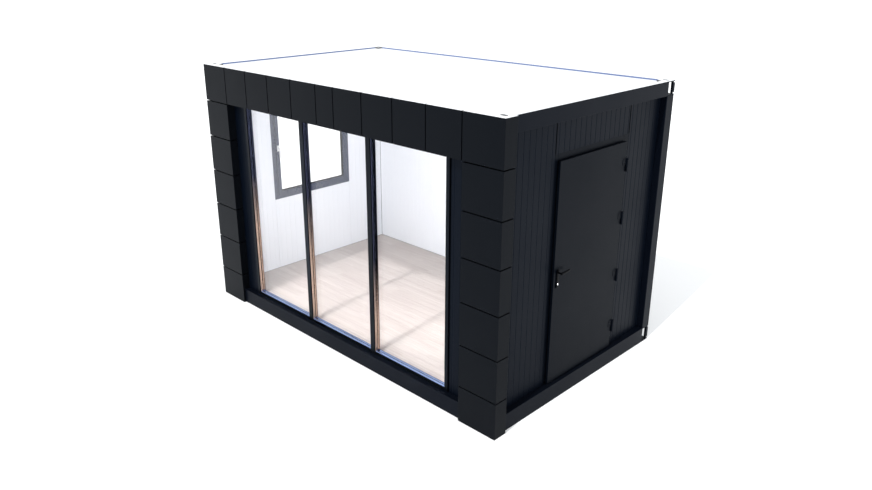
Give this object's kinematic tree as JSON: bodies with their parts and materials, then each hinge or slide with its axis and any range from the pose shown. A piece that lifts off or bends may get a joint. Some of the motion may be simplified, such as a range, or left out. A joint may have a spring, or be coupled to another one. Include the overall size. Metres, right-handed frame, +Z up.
{
  "type": "office container",
  "caption": "Site office container with a glazed front behind a tiled portal, a side window, a hinged steel door with a lever handle, and a flat roof.",
  "frame": {"origin": "middle of the footprint on the ground", "axes": "+Z up, -Y towards the glazed front, +X towards the end with the door"},
  "size_m": [4.05, 2.425, 2.6],
  "materials": {
    "frame_steel": "satin anthracite paint",
    "primed_steel": "grey primer",
    "floor_board": "raw board",
    "floor_finish": "light oak laminate",
    "ceiling": "white board",
    "roof_white": "white paint",
    "wall_panel": "anthracite outside, white inside",
    "window_profile": "anthracite powder coat",
    "glass": "clear double glazing",
    "white_handle": "white",
    "door_steel": "satin anthracite paint",
    "threshold": "plain",
    "black_metal": "satin black",
    "bright_metal": "polished",
    "cladding": "satin anthracite sheet"
  },
  "bodies": {
    "container": {"front_bottom_rail": "frame_steel", "back_bottom_rail": "frame_steel", "left_bottom_rail": "frame_steel", "right_bottom_rail": "frame_steel", "front_top_rail": "frame_steel", "back_top_rail": "frame_steel", "left_top_rail": "frame_steel", "right_top_rail": "frame_steel", "corner_posts": "frame_steel", "bottom_corner_castings": "frame_steel", "top_corner_castings": "frame_steel", "floor_cross_members": "primed_steel", "floor_underside_sheet": "primed_steel", "roof_joists": "primed_steel", "floor_panel": "floor_board", "floor_covering": "floor_finish", "ceiling_panel": "ceiling", "roof_sheet": "roof_white", "back_wall_panels": "wall_panel", "left_wall_panels": "wall_panel", "right_wall_front_panel": "wall_panel", "right_wall_back_panel": "wall_panel", "right_wall_over_door": "wall_panel", "front_wall_side_panels": "wall_panel", "front_wall_lintel": "wall_panel", "glazing_frame": "window_profile", "glazing_mullions": "window_profile", "window_frame": "window_profile", "window_sash": "window_profile", "glazing_panes": "glass", "window_pane": "glass", "window_handle": "white_handle", "door_jambs": "door_steel", "door_head": "door_steel", "door_threshold": "threshold", "door_hinge_pins": "black_metal", "cladding_band": "cladding", "cladding_band_corners": "cladding", "cladding_left_column": "cladding", "cladding_right_column": "cladding"},
    "door": {"door_leaf": "door_steel", "door_hinge_knuckles": "black_metal", "door_handle_plates": "black_metal", "door_lock_cylinder": "bright_metal"},
    "handle": {"door_handle": "black_metal"}
  },
  "joints": [
    {"name": "door_hinge", "type": "hinge", "parent": "container", "child": "door", "pos_m": [1.976, 0.5385, 1.155], "axis": [0, 0, 1], "range_deg": [0, 170]},
    {"name": "handle_pivot", "type": "hinge", "parent": "door", "child": "handle", "pos_m": [1.97, -0.3995, 1.198], "axis": [-1, 0, 0], "range_deg": [0, 45], "stiffness_Nm_per_rad": 1.5}
  ]
}
